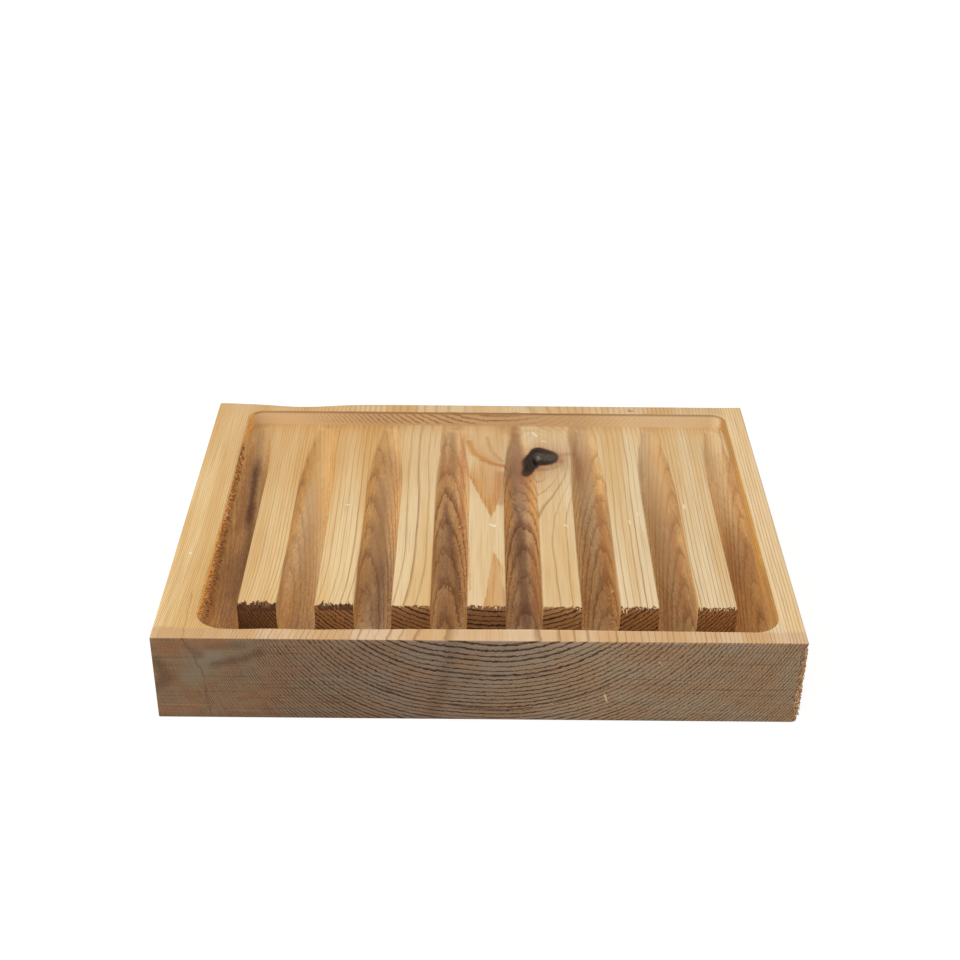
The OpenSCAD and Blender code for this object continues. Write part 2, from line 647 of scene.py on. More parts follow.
for vertex in knot.verts:
    angle = math.atan2(vertex.co.y, vertex.co.x)
    turn = math.acos(max(-1.0, min(1.0, vertex.co.z))) / (math.pi / 2)
    reach = knot_reach(angle) + overlap
    if turn <= 1:
        share = math.sin(turn * math.pi / 2)
        down = 0.0
    else:
        sunk = turn - 1
        share = 0.98 * min(1.0, (1 - sunk) / (1 - side_share))
        down = plug_depth * min(1.0, sunk / side_share)
    x = knot_middle[0] + share * reach * math.cos(angle)
    y = knot_middle[1] + share * reach * math.sin(angle)
    x, y, z = lifted(x, y, above_bed)
    vertex[rim_layer] = share
    if turn <= 1:
        inner = 1 - share ** 8
        z += 0.4 * inner * (rib_top_z - z)
        rough = noise.fractal(Vector((x * 0.9, y * 0.9, 3.1)), 0.8, 2.2, 4)
        z -= inner * (0.3 + 0.18 * rough)
        z -= 0.1 * inner * max(0.0, math.sin(share * 19 + rough))
        z -= hole_depth * bump_at(x, y, hole_at, 0.45, 1.0)
        z += ridge_h * bump_at(x, y, ridge_at, 0.7, 0.35)
        z -= tail_dip * bump_at(x, y, tail_dip_at, 0.8, 1.3)
    vertex.co = Vector((x, y, min(z, rib_top_z + 0.06) - down))
bmesh.ops.recalc_face_normals(knot, faces=knot.faces)
print("knot:", len(knot.verts), "vertices, volume", round(knot.calc_volume(), 1), "cubic mm")

# %% [markdown]
# Now the wear that a cutter leaves in soft wood. Where it left a rib's end it broke the fibres out
# of the top arris, so the arris gets small ragged notches, deepest on the first two ribs. The whole
# skin is a few hundredths of a millimetre uneven, and the recess's front edge isn't quite straight.

# %% Ragged arrises on the rib ends
tear_strengths = (1.0, 0.85, 0.3, 0.45, 0.35, 0.55, 0.5)
tear_reach = 1.7
tear_depth = 0.8
torn_layer = board.verts.layers.float.new("torn")


def rib_at(x):
    """Number of the rib whose top lies under x, or None over a channel."""
    for i in range(rib_count):
        if 0.05 < x - rib_left(i) < rib_w - 0.05:
            return i
    return None


def tear_length(x, i):
    """How far back from the rib's end the fibres are broken out at x."""
    fine = noise.noise(Vector((x * 2.1, i * 7.7, 0.4)))
    broad = noise.noise(Vector((x * 0.6, i * 3.3, 5.2)))
    return max(0.0, 0.3 + 1.3 * fine + 0.5 * broad) * tear_strengths[i] * tear_reach


torn_count = 0
for vertex in board.verts:
    x, y, z = vertex.co
    behind = y - rib_front_y
    i = rib_at(x)
    if i is None or z < rib_top_z - 0.6 or not -0.01 < behind < tear_reach * 1.6:
        continue
    reach = tear_length(x, i)
    if reach > 0.02 and behind < reach:
        vertex.co.z -= tear_depth * tear_strengths[i] * (1 - behind / reach) * min(1.0, reach / 0.5)
        on_top = z > rib_top_z - 0.12
        shown = min(1.0, 0.4 + tear_strengths[i]) if on_top else tear_strengths[i] ** 2
        vertex[torn_layer] = min(1.0, 3.0 * (1 - behind / reach)) * shown
        torn_count += 1
print("vertices in the torn arrises:", torn_count)

# %% Rough rib ends and uneven faces
end_rough = 0.16
uneven = 0.045
front_edge_places = (-52, -45, -38, -31, -10, 10, 30, 52)
front_edge_shifts = (0.0, -0.35, -0.15, -0.3, 0.1, 0.3, 0.1, 0.0)
back_hollow_x = -41.0
back_hollow_w = 9.0
back_hollow_depth = 0.9
front_edge_fade = 1.3
back_fade_y = 2.5
back_fade_z = 4.5
corner_fade = 5.0


def between(value, places, shifts):
    """Value read off a row of places, softly joined."""
    for a, b, low, high in zip(places, places[1:], shifts, shifts[1:]):
        if a <= value <= b:
            share = (value - a) / (b - a)
            return low + (high - low) * share * share * (3 - 2 * share)
    return 0.0


for vertex in board.verts:
    x, y, z = vertex.co
    at_end = abs(y - rib_front_y) < 0.01 and trough_floor_z + 0.5 < z < rib_top_z + 0.1
    if at_end and rib_at(x) is not None:
        vertex.co.y += end_rough * noise.fractal(Vector((x * 1.9, z * 1.3, 9.0)), 0.7, 2.0, 3)
    if z > trough_floor_z - 0.1 and abs(x) < board_w / 2 - 1 and abs(y) < board_d / 2 - 1:
        bumpy = noise.noise(Vector((x * 0.35, y * 0.06, z * 0.3)))
        vertex.co.z += uneven * (bumpy - 0.8)
    near_edge = max(0.0, 1 - abs(y - front_wall_y + 0.2) / front_edge_fade)
    if z > rib_top_z - 6:
        vertex.co.y += between(x, front_edge_places, front_edge_shifts) * near_edge
    at_back = max(0.0, 1 - (board_d / 2 - y) / back_fade_y)
    at_back *= max(0.0, 1 - (board_h - z) / back_fade_z)
    hollow = 0.12 + math.exp(-((x - back_hollow_x) / back_hollow_w) ** 2)
    corner = min(1.0, max(0.0, (board_w / 2 - abs(x)) / corner_fade))
    vertex.co.z -= 0.6 * back_hollow_depth * hollow * at_back * corner
    vertex.co.y -= 0.5 * back_hollow_depth * hollow * at_back * corner
print("the board's back edge dips by", back_hollow_depth, "mm at", back_hollow_x, "mm")

# %% Chipped corner on the right of the front face
corner_zone = 2.6
chip_w = 1.3
chip_depth = 0.5
worn_r = 1.7
worn_reach = 3.0
chipped_layer = board.verts.layers.float.new("chipped")


def at_corner(vertex):
    return (board_w / 2 - vertex.co.x < corner_zone and vertex.co.y + board_d / 2 < corner_zone
            and vertex.co.z < board_h - 0.5)


def strip_width(z):
    """How far the chips reach in from the corner, widest near the bottom."""
    return 0.35 + 0.95 * math.exp(-((z - 5.0) / 4.5) ** 2)


for level, cuts in ((False, 4), (True, 1)):
    edges = [edge for edge in board.edges if all(at_corner(vertex) for vertex in edge.verts)
             and edge.calc_length() > 0.3
             and (abs(edge.verts[0].co.z - edge.verts[1].co.z) < 0.05) == level]
    bmesh.ops.subdivide_edges(board, edges=edges, cuts=cuts, use_grid_fill=True)

for vertex in board.verts:
    x, y, z = vertex.co
    off_x = board_w / 2 - x
    off_y = y + board_d / 2
    if max(off_x, off_y) > worn_reach or z > board_h - 0.9:
        continue
    ragged = 0.8 + 0.8 * noise.fractal(Vector((z * 0.6, off_x * 1.5, 2.0)), 0.8, 2.0, 3)
    width = strip_width(z) * max(0.3, ragged) * 1.2
    vertex[chipped_layer] = max(0.0, min(1.0, 2.5 * (1 - max(off_x, off_y) / width)))
    if off_x < chip_w and off_y < chip_w and z > 0.2:
        vertex.co.x -= chip_depth * 0.7 * max(0.0, ragged) * (1 - off_y / chip_w)
        vertex.co.y += chip_depth * max(0.0, ragged) * (1 - off_x / chip_w)
    in_x = worn_r - (board_w / 2 - vertex.co.x)
    in_z = worn_r - z
    far = math.hypot(in_x, in_z)
    if in_x > 0 and in_z > 0 and far > worn_r:
        share = (1 - worn_r / far) * (1 - off_y / worn_reach)
        vertex.co.x -= in_x * share
        vertex.co.z += in_z * share
bmesh.ops.recalc_face_normals(board, faces=board.faces)
print("corner chipped over", chip_w, "mm")

# %% [markdown]
# Some fibres aren't broken off but hang on by one end. Each is a ball of sixteen faces, drawn out
# into a spindle and bent a little, and they are all gathered in one piece. They stand on the rib
# ends, curl out of the channels' walls, fringe the left wall of the recess and line the corner.

# %% Loose fibres
spindle = bmesh.new()
bmesh.ops.create_uvsphere(spindle, u_segments=4, v_segments=4, radius=1)
spindle_mesh = bpy.data.meshes.new("spindle")
spindle.to_mesh(spindle_mesh)
spindle.free()
fuzz = bmesh.new()
tone_layer = fuzz.verts.layers.float.new("tone")
chance = random.Random(11)


def add_fibre(base, way, length, width, curl, tone):
    """One bent fibre from base, along way. tone: -1 dark brown, 0 brown, 1 nearly white."""
    fuzz.from_mesh(spindle_mesh)
    fuzz.verts.ensure_lookup_table()
    turn = Vector(way).to_track_quat("Z", "Y").to_matrix()
    for vertex in fuzz.verts[-len(spindle_mesh.vertices):]:
        along = vertex.co.z / 2 + 0.5
        local = Vector((vertex.co.x * width / 2, vertex.co.y * width / 2, along * length))
        vertex.co = Vector(base) + turn @ local + Vector(curl) * along * along * length
        vertex[tone_layer] = tone


def spread(low, high):
    return chance.uniform(low, high)


fibre_counts = (20, 17, 9, 14, 9, 20, 18)
upright_count = 2
for i, count in enumerate(fibre_counts):
    for _ in range(count):
        x = rib_left(i) + spread(0.2, rib_w - 0.2)
        if i < upright_count:
            tone = chance.choice((-1.0, -0.9, -0.8, 0.7))
            size = spread(0.4, 1.1) if tone < 0 else spread(0.3, 0.8)
            way = (spread(-0.6, 0.8), spread(-0.5, 0.4), spread(0.3, 0.8))
        else:
            size = spread(0.2, 0.55)
            way = (spread(-0.9, 0.9), -1.0, spread(-0.3, 0.7))
            tone = spread(0.2, 0.9)
        add_fibre((x, rib_front_y + spread(0.0, 0.35), rib_top_z - spread(0.02, 0.3)), way, size,
                  spread(0.12, 0.3), (spread(-0.3, 0.3), 0, -0.2), tone)
print("fibres on the rib ends:", sum(fibre_counts))

# %% Curls that stand out on the rib ends, and fibres along the walls
# (x, y, length, sideways)
curls = ((3.9, -29.6, 0.7, 0.9), (3.3, -29.7, 0.5, -0.8), (0.6, -29.6, 0.5, 0.8),
         (19.2, -29.6, 0.8, 0.6), (18.8, -29.6, 0.5, -0.8), (27.2, -29.6, 0.7, 0.9),
         (27.6, -29.7, 1.0, -0.7), (28.1, -29.7, 1.1, 0.4), (28.6, -29.6, 0.6, -1.0),
         (30.1, -29.6, 0.5, 0.8), (42.6, -29.6, 0.5, 0.9), (44.2, -29.6, 0.6, -0.9),
         (45.4, -29.6, 0.5, 0.6), (46.9, -29.6, 0.4, -0.6))
for x, y, length, aside in curls:
    add_fibre((x, y, rib_top_z - 0.1), (aside, -1.0, 0.1), length, 0.2, (-aside, 0, -0.7), 0.9)

# (channel, side, how many, front y, back y, longest)
fringes = ((3, 1, 110, -29, 12, 0.9), (4, -1, 70, -29, -12, 0.8), (5, -1, 50, -29, -12, 0.7),
           (5, 1, 60, -29, -16, 0.9), (6, -1, 46, -29, -8, 0.7), (1, 1, 60, -29, -10, 0.6),
           (2, -1, 60, -29, -16, 0.7), (2, 1, 40, -29, -18, 0.6), (7, -1, 24, -29, -20, 0.6))
for channel, side, count, y_from, y_to, longest in fringes:
    middle, half = channel_place(channel)
    wall_x = middle + side * half
    for _ in range(count):
        y = y_from + (y_to - y_from) * spread(0, 1) ** 1.3
        x = wall_x - side * spread(0.0, 1.7)
        z = min(bed_height(x, y) + 0.06, rib_top_z - spread(0.3, 1.5))
        way = (-side * 0.6, spread(-1.0, 1.0), spread(0.0, 0.6))
        add_fibre((x, y, z), way, spread(0.3, longest), spread(0.1, 0.22),
                  (0, spread(-0.6, 0.6), spread(-0.8, 0.0)), spread(0.1, 0.7))
print("fibres along the channels:", sum(fringe[2] for fringe in fringes))

# %% Fringe on the left wall of the recess, and the chipped corner
wall_fringe_count = 460
wall_fringe_front_y = -38.5
wall_fringe_length = 66
for k in range(wall_fringe_count):
    y = wall_fringe_front_y + wall_fringe_length * (k + spread(0, 1)) / wall_fringe_count
    z = spread(max(floor_z(y) + 3.0, 11.5), board_h - 0.6)
    way = (0.5, spread(-1.0, -0.2), spread(0.3, 1.0))
    add_fibre((left_wall_x - 0.02, y, z), way, spread(0.6, 1.9), spread(0.14, 0.34),
              (0.15, spread(-0.8, 0.2), spread(-0.7, 0.1)), spread(-0.3, 0.35))

corner_count = 380
for _ in range(corner_count):
    z = spread(1.2, board_h - 1.3)
    off = spread(0.05, strip_width(z)) + max(0.0, 2.0 - z) * 0.4
    way = (spread(-0.6, 0.3), -0.4, spread(-1.0, 1.0))
    add_fibre((board_w / 2 - off, -board_d / 2 + 0.4 * (1 - off / chip_w) + 0.05, z), way,
              spread(0.25, 0.8), spread(0.14, 0.34), (0, 0.1, 0), spread(-0.5, 0.9))

limit_x = board_w / 2 - 0.01
limit_y = board_d / 2 - 0.01
for vertex in fuzz.verts:
    vertex.co.x = max(-limit_x, min(limit_x, vertex.co.x))
    vertex.co.y = max(-limit_y, min(limit_y, vertex.co.y))
    vertex.co.z = max(0.1, min(board_h - 0.05, vertex.co.z))
bmesh.ops.recalc_face_normals(fuzz, faces=fuzz.faces)
print("loose fibres:", len(fuzz.faces), "faces in all")

# %% [markdown]
# The wood is one procedural material, put together from node groups. Each group does one thing that
# the real board shows, takes named inputs and gives named outputs. The two classes below only save
# typing. A Signal is a node's output, and a sign between signals and numbers adds a math node, so
# that a * b + c reads like a sum. Wiring adds nodes to one tree and joins what each of them is given.

# %% Help with wiring nodes
VALUE = "NodeSocketFloat"
PLACE = "NodeSocketVector"


class Signal:
    """A node's output, with the sums that can be done with it."""

    def __init__(self, wires, socket):
        self.wires = wires
        self.socket = socket

    def __add__(self, other):
        return self.wires.calc("ADD", self, other)

    def __sub__(self, other):
        return self.wires.calc("SUBTRACT", self, other)

    def __rsub__(self, other):
        return self.wires.calc("SUBTRACT", other, self)

    def __mul__(self, other):
        return self.wires.calc("MULTIPLY", self, other)

    def __truediv__(self, other):
        return self.wires.calc("DIVIDE", self, other)

    def __pow__(self, other):
        return self.wires.calc("POWER", self, other)

    def __abs__(self):
        return self.wires.calc("ABSOLUTE", self)

    def ease(self, start, end, at_start=0.0, at_end=1.0):
        """Smooth step from at_start to at_end while this goes from start to end, up or down."""
        inputs = {"Value": self, "From Min": start, "From Max": end,
                  "To Min": at_start, "To Max": at_end}
        return self.wires.node("ShaderNodeMapRange", inputs, interpolation_type="SMOOTHSTEP")

    def mix(self, a, b):
        """a where this is 0, b where it is 1."""
        return self.wires.mix(self, a, b)

    def tint(self, color, tint):
        """The colour where this is 0, the colour multiplied by the tint where it is 1."""
        return self.wires.mix(self, color, tint, "MULTIPLY")


class Wiring:
    """Adds joined nodes to one tree. A value is a number, a tuple or a signal."""

    def __init__(self, tree):
        self.tree = tree

    def feed(self, sockets, values):
        for label, value in values.items():
            if isinstance(value, Signal):
                self.tree.links.new(value.socket, sockets[label])
            elif sockets[label].type == "RGBA":
                sockets[label].default_value = (*value, 1)
            else:
                sockets[label].default_value = value

    def node(self, kind, inputs=None, output=0, **settings):
        """Add a node, set it, feed its inputs and give the signal of one output."""
        node = self.tree.nodes.new(kind)
        for name, value in settings.items():
            setattr(node, name, value)
        self.feed(node.inputs, inputs or {})
        return Signal(self, node.outputs[output])

    def calc(self, operation, *values):
        return self.node("ShaderNodeMath", dict(enumerate(values)), operation=operation)

    def move(self, operation, *values):
        output = "Value" if operation in ("DOT_PRODUCT", "DISTANCE") else "Vector"
        return self.node("ShaderNodeVectorMath", dict(enumerate(values)), output, operation=operation)

    def split(self, place):
        x = self.node("ShaderNodeSeparateXYZ", {0: place})
        return [Signal(self, socket) for socket in x.socket.node.outputs]

    def noise(self, place, scale, detail=2.0, rough=0.5, output="Fac"):
        """Noise from 0 to 1. scale counts features a millimetre along x, y and z."""
        inputs = {"Vector": self.move("MULTIPLY", place, scale), "Scale": 1.0,
                  "Detail": detail, "Roughness": rough}
        return self.node("ShaderNodeTexNoise", inputs, output)

    def mix(self, share, a, b, kind="MIX"):
        return self.node("ShaderNodeMix", {0: share, 6: a, 7: b}, 2, data_type="RGBA", blend_type=kind)

    def attribute(self, name, output="Fac"):
        return self.node("ShaderNodeAttribute", output=output, attribute_name=name)

    def use(self, name, **values):
        """Put a group that was made before into this tree. Its outputs come by name."""
        inputs = {label.replace("_", " "): value for label, value in values.items()}
        first = self.node("ShaderNodeGroup", inputs, node_tree=bpy.data.node_groups[name])
        return {socket.name: Signal(self, socket) for socket in first.socket.node.outputs}


def new_group(name, inputs, outputs):
    """Make a group. It comes as its wiring, the signals given to it and the sockets to feed."""
    tree = bpy.data.node_groups.new(name, "ShaderNodeTree")
    for label, kind in inputs.items():
        tree.interface.new_socket(label, in_out="INPUT", socket_type=kind)
    for label, kind in outputs.items():
        tree.interface.new_socket(label, in_out="OUTPUT", socket_type=kind)
    wires = Wiring(tree)
    sockets = tree.nodes.new("NodeGroupInput").outputs
    given = {label: Signal(wires, sockets[label]) for label in inputs}
    return wires, given, tree.nodes.new("NodeGroupOutput").inputs


def new_material(name):
    """Make a material. It comes with its wiring and the place on the object in millimetres."""
    material = bpy.data.materials.new(name)
    material.use_nodes = True
    wires = Wiring(material.node_tree)
    place = wires.node("ShaderNodeTexCoord", output="Object")
    return material, wires, wires.move("MULTIPLY", place, (1 / mm, 1 / mm, 1 / mm))


def finish_material(wires, color, rough, specular, relief, height):
    """Feed the material's shader. The height is in millimetres, and relief says how much it shows."""
    bump = wires.node("ShaderNodeBump", {"Strength": relief, "Distance": mm, "Height": height})
    shader = wires.tree.nodes["Principled BSDF"]
    wires.feed(shader.inputs, {"Base Color": color, "Roughness": rough,
                               "Specular IOR Level": specular, "Normal": bump})


def srgb(red, green, blue):
    """A colour as read off a screen, 0 to 255, in the linear light that nodes use."""
    shares = [c / 255 for c in (red, green, blue)]
    return tuple(s / 12.92 if s <= 0.04045 else ((s + 0.055) / 1.055) ** 2.4 for s in shares)


print("helpers for nodes are ready")

# %% [markdown]
# A softwood board is a slice of a stem. Its lines aren't drawn on each face: they are one set of
# rings, cut by every face. The pith, the middle of the stem, lies above this board, so the front
# face shows hanging arcs, the rim shows nearly straight lines and the sloping channels show
# pointed chevrons. The stem isn't a perfect cylinder. It bows along its length, it bends towards
# the left at the front, and its rings flow round the knot. The group counts rings outwards.

# %% Node group: growth rings
pith_x = 3.3
pith_z = 44.5
pith_bow_y = -4.0
pith_bow = 0.00032
most_bow = 0.25
first_ring_r = 28.0
rings_a_mm = 0.8
rings_crowd = 0.0145
ring_shift = 0.22
hook_y = -10.0
hook_x = 12.0
hook_bend = 0.0031
slow_years_x = -36.0
slow_years = 0.02
knot_push = 3.9
knot_reach_left = 5.0
knot_reach_right = 8.5
knot_reach_y = 15.0
wander_scale = (0.07, 0.02, 0.12)
ripple_scale = (0.4, 0.05, 0.4)

wires, given, wanted = new_group("growth rings", {"Place mm": PLACE}, {"Phase": VALUE, "Knot": VALUE})
x, y, z = wires.split(given["Place mm"])
hook = x.ease(-hook_x, 0.0, hook_bend, 0.0) * wires.calc("MAXIMUM", hook_y - y, 0.0) ** 2
across = x - pith_x + hook
bow = wires.calc("MINIMUM", (y - pith_bow_y) ** 2 * pith_bow, most_bow)
above = pith_z - z - bow
out = wires.calc("SQRT", across ** 2 + above ** 2) - first_ring_r
slow = wires.calc("MAXIMUM", slow_years_x - x, 0.0) ** 2 * slow_years
phase = out * (out * rings_crowd + rings_a_mm) + slow
knot_x, knot_y, _ = knot_rounds[0]
near_x = (x - knot_x) / x.ease(knot_x - 2, knot_x + 2, knot_reach_left, knot_reach_right)
near_y = (y - knot_y) / knot_reach_y
push = wires.calc("EXPONENT", (near_x ** 2 + near_y ** 2) * -1.0) * y.ease(36.0, 42.0, 1.0, 0.35)
wander = wires.noise(given["Place mm"], wander_scale, 2.0) * 0.5 - (0.25 + ring_shift)
ripple = wires.noise(given["Place mm"], ripple_scale, 3.0) - 0.5
phase = phase - push * knot_push + wander + ripple * abs(across).ease(1.0, 7.0, 0.05, 0.4)
wires.feed(wanted, {"Phase": phase, "Knot": push})
print("rings are", round(1 / rings_a_mm, 2), "mm apart at", first_ring_r, "mm from the pith")

# %% [markdown]
# Each ring is one year. Pale earlywood darkens slowly into latewood, then stops at a sharp edge
# where the next spring began. Years differ, so a random number for each ring sets where its
# latewood starts and how dark it gets.

# %% Node group: ring lines
latest_start = 0.25
weakest_year = 0.4
wires, given, wanted = new_group("ring lines", {"Phase": VALUE, "Start": VALUE},
                                 {"Latewood": VALUE, "Share": VALUE})
share = wires.calc("FRACT", given["Phase"])
number = wires.calc("FLOOR", given["Phase"])
year = wires.node("ShaderNodeTexWhiteNoise", {"W": number}, "Value", noise_dimensions="1D")
rise = share.ease(year * latest_start + given["Start"], 0.95)
fall = share.ease(1.0, 0.96)
wires.feed(wanted, {"Latewood": rise * fall * (1 - year * weakest_year), "Share": share})
print("ring lines start late in the year and end at once")

# %% [markdown]
# Along the stem run the fibres. Cut lengthwise they are fine streaks, each a fraction of a
# millimetre wide and many long. Some broad streaks are a little warmer than others.

# %% Node group: fibres
wires, given, wanted = new_group("fibres", {"Place mm": PLACE},
                                 {"Fine": VALUE, "Broad": VALUE, "Torn": VALUE})
wires.feed(wanted, {"Fine": wires.noise(given["Place mm"], (3.2, 0.07, 3.2), 3.0, 0.6),
                    "Broad": wires.noise(given["Place mm"], (0.16, 0.012, 0.2), 2.0),
                    "Torn": wires.noise(given["Place mm"], (2.6, 0.9, 2.6), 4.0, 0.65)})
print("fibres run along y")

# %% [markdown]
# A mark, such as a crack, a streak of resin or a stain, lies along a straight stroke on a face.
# The group measures how far a point is from that stroke, and fades from 1 on it to 0 outside it.

# %% Node group: stroke
wires, given, wanted = new_group("stroke", {"Place mm": PLACE, "From": PLACE, "To": PLACE,
                                            "Half width": VALUE, "Fade": VALUE}, {"Mark": VALUE})
along = wires.move("SUBTRACT", given["To"], given["From"])
here = wires.move("SUBTRACT", given["Place mm"], given["From"])
part = wires.move("DOT_PRODUCT", here, along) / wires.move("DOT_PRODUCT", along, along)
part = wires.calc("MINIMUM", wires.calc("MAXIMUM", part, 0.0), 1.0)
nearest = wires.node("ShaderNodeVectorMath", {0: along, "Scale": part}, operation="SCALE")
off = wires.move("DISTANCE", here, nearest)
wires.feed(wanted, {"Mark": off.ease(given["Half width"] + given["Fade"], given["Half width"])})
print("strokes are ready")

# %% [markdown]
# Where a face only just grazes a ring, the ring shows as a long pointed flame instead of a line.
# The fourth rib has two of them. A flame opens from its apex, is darkest along its two edges and
# fades inwards and towards its open end.

# %% Node group: flame
flame_edge_w = 0.4
flame_inner_w = 2.6
wires, given, wanted = new_group("flame", {"Place mm": PLACE, "Apex x": VALUE, "Apex y": VALUE,
                                           "Left slope": VALUE, "Right slope": VALUE,
                                           "Way": VALUE, "Length": VALUE}, {"Mark": VALUE})
x, y, z = wires.split(given["Place mm"])
ahead_y = (y - given["Apex y"]) * given["Way"]
aside_x = x - given["Apex x"]
from_left = ahead_y * given["Left slope"] + aside_x
from_right = ahead_y * given["Right slope"] - aside_x
nearest = wires.calc("MINIMUM", from_left, from_right)
mark = nearest.ease(0.0, flame_edge_w) * nearest.ease(0.1, flame_inner_w, 1.0, 0.6)
wires.feed(wanted, {"Mark": mark * (ahead_y / given["Length"]).ease(1.0, 0.55)})
print("flames are ready")

# %% [markdown]
# Marks that belong to this one board are listed, each with its place in millimetres. On the
# faces seen from above a mark is placed by x and y, and on the front face by x and z. They are the
# darker wood round the knot, the crinkles in the channel in front of it, flecks of resin, the check
# at the left end of the front face and the like. The streaks of resin and stain in the channels have
# a list of their own, because they are squeezed along y so that they taper with the grain.

# %% Marks on this board
orange = srgb(210, 150, 88)
rust = srgb(178, 112, 66)
flame_orange = srgb(200, 136, 64)
purple = srgb(105, 66, 52)
resin = srgb(250, 236, 205)
halo = srgb(166, 108, 64)
near_knot_brown = srgb(74, 50, 34)
ash = srgb(172, 140, 116)
brown_pale = srgb(206, 162, 112)
ash_pale = srgb(192, 156, 120)
orange_pale = srgb(200, 150, 92)
brown = srgb(160, 112, 72)
dark = srgb(84, 62, 46)
crack_brown = srgb(62, 42, 28)
olive = srgb(150, 144, 120)
pale_fibre = srgb(238, 212, 166)

# (strength, apex x, apex y, left slope, right slope, way, length)
flames = ((0.95, 2.5, 1.2, 0.29, 0.2, 1.0, 27.0), (0.75, 2.7, -9.7, 0.107, 0.35, -1.0, 34.0))

# (colour, strength, half width, fade, points that the stroke joins)
top_marks = [
    (orange, 0.35, 0.3, 2.4, ((-3.2, 36), (-1.2, 29.5), (2.4, 25.6))),
    (flame_orange, 0.75, 0.1, 1.1, ((-2.6, 34), (-1.2, 28.5), (2.6, 24.3), (5.6, 23.4))),
    (rust, 0.5, 0.0, 0.7, ((0.4, 25.8), (2.8, 24.2), (5.6, 23.3))),
    (rust, 0.4, 0.0, 0.9, ((1.6, 36), (2.4, 30), (4.8, 25.5))),
    (dark, 0.45, 0.0, 0.35, ((6.3, 15.8), (6.8, 13.8), (7.8, 14.1))),
    (dark, 0.45, 0.0, 0.35, ((8.8, 20.4), (10.0, 19.2), (11.2, 19.6))),
    (dark, 0.4, 0.0, 0.3, ((8.6, 17.0), (9.8, 16.0), (11.0, 16.6))),
    (dark, 0.4, 0.0, 0.3, ((9.0, 14.0), (10.4, 13.2))),
    (dark, 0.45, 0.0, 0.35, ((6.6, 10.8), (8.6, 10.0), (9.4, 10.8))),
    (dark, 0.4, 0.0, 0.3, ((7.2, 18.6), (8.0, 17.0), (7.4, 15.6))),
    (purple, 0.35, 0.0, 0.9, ((7.4, 12.0), (9.0, 6.0))),
    (orange, 0.6, 0.05, 0.35, ((-2.3, -9), (-1.9, -24))),
    (rust, 0.5, 0.1, 1.6, ((4.4, 20), (4.0, 8))),
    (rust, 0.3, 0.0, 1.3, ((18.2, 26.5), (16.6, 23.6), (13.0, 22.0))),
    (halo, 0.4, 0.0, 1.4, ((17.6, 28.2), (20.4, 29.0))),
    (near_knot_brown, 0.3, 0.05, 1.1, ((12.4, 21.8), (14.4, 21.9), (16.4, 23.3), (17.9, 25.6))),
    (pale_fibre, 0.6, 0.1, 0.6, ((12.8, 23.2), (15.4, 22.9), (17.2, 24.4))),
    (resin, 0.9, 0.12, 0.2, ((2.1, -0.4), (2.9, -1.1), (3.2, -0.6))),
    (resin, 0.9, 0.15, 0.3, ((12.0, 38.4), (12.8, 36.9))),
    (resin, 0.9, 0.15, 0.3, ((14.0, 34.6), (14.8, 34.3))),
    (resin, 0.7, 0.08, 0.2, ((17.6, -0.2), (18.2, -1.0))),
    (resin, 0.7, 0.08, 0.2, ((31.0, 1.6), (31.1, 0.2))),
    (resin, 0.7, 0.08, 0.2, ((33.0, 4.4), (33.1, 3.6))),
    (resin, 0.7, 0.08, 0.2, ((43.2, 8.0), (43.3, 6.4))),
    (resin, 0.7, 0.08, 0.2, ((-28.2, 6.9), (-27.6, 6.6))),
    (resin, 0.8, 0.1, 0.2, ((-57.0, -17.2), (-56.7, -17.5))),
    (dark, 0.6, 0.1, 0.4, ((34.2, 42.9), (34.8, 42.7))),
    (dark, 0.3, 0.02, 0.2, ((-54.0, -45), (-54.4, -30))),
]
streaks = [
    (purple, 0.8, 0.0, 1.6, ((-49.5, 23), (-49.0, 8))),
    (purple, 0.4, 0.0, 1.1, ((-48.4, 9), (-47.6, -12))),
    (purple, 0.25, 0.0, 1.8, ((-50.0, 34), (-49.0, 6), (-48.6, -26))),
    (rust, 0.5, 0.0, 1.2, ((-51.3, 30), (-50.8, 4))),
    (purple, 0.5, 0.1, 0.9, ((-7.2, 10), (-6.2, 2), (-4.7, -10), (-4.0, -20))),
    (purple, 0.4, 0.2, 1.3, ((-20.8, 14), (-19.8, -26))),
    (purple, 0.55, 0.3, 1.4, ((8.4, 4), (9.3, -24))),
    (rust, 0.5, 0.1, 0.8, ((11.0, -4), (11.2, -22))),
    (rust, 0.55, 0.1, 0.9, ((-3.9, 34), (-3.7, 4))),
    (rust, 0.5, 0.1, 0.9, ((-8.2, 36), (-8.3, 22))),
    (brown, 0.6, 0.2, 1.4, ((-6.2, 36), (-6.0, 26))),
    (brown, 0.6, 0.4, 1.6, ((8.0, 38), (8.6, 28))),
    (ash, 0.55, 0.8, 1.8, ((8.0, 26), (8.4, 14))),
    (brown_pale, 0.5, 0.9, 1.8, ((-20.6, 16), (-20.6, 0))),
    (ash_pale, 0.5, 1.2, 2.0, ((22.5, 38), (22.8, 22))),
    (orange_pale, 0.45, 1.2, 1.8, ((38.5, 36), (38.5, 16))),
    (brown_pale, 0.35, 0.9, 1.8, ((38.0, 14), (38.4, -4))),
    (brown_pale, 0.3, 0.9, 1.8, ((-35.4, 12), (-35.2, -4))),
    (rust, 0.4, 0.1, 0.9, ((25.6, 10), (25.8, -20))),
    (rust, 0.4, 0.1, 0.9, ((40.4, 6), (40.8, -22))),
    (rust, 0.25, 0.1, 1.0, ((55.0, 26), (54.8, -6))),
    (brown, 0.5, 0.2, 1.4, ((20.6, 35), (21.8, 24))),
]
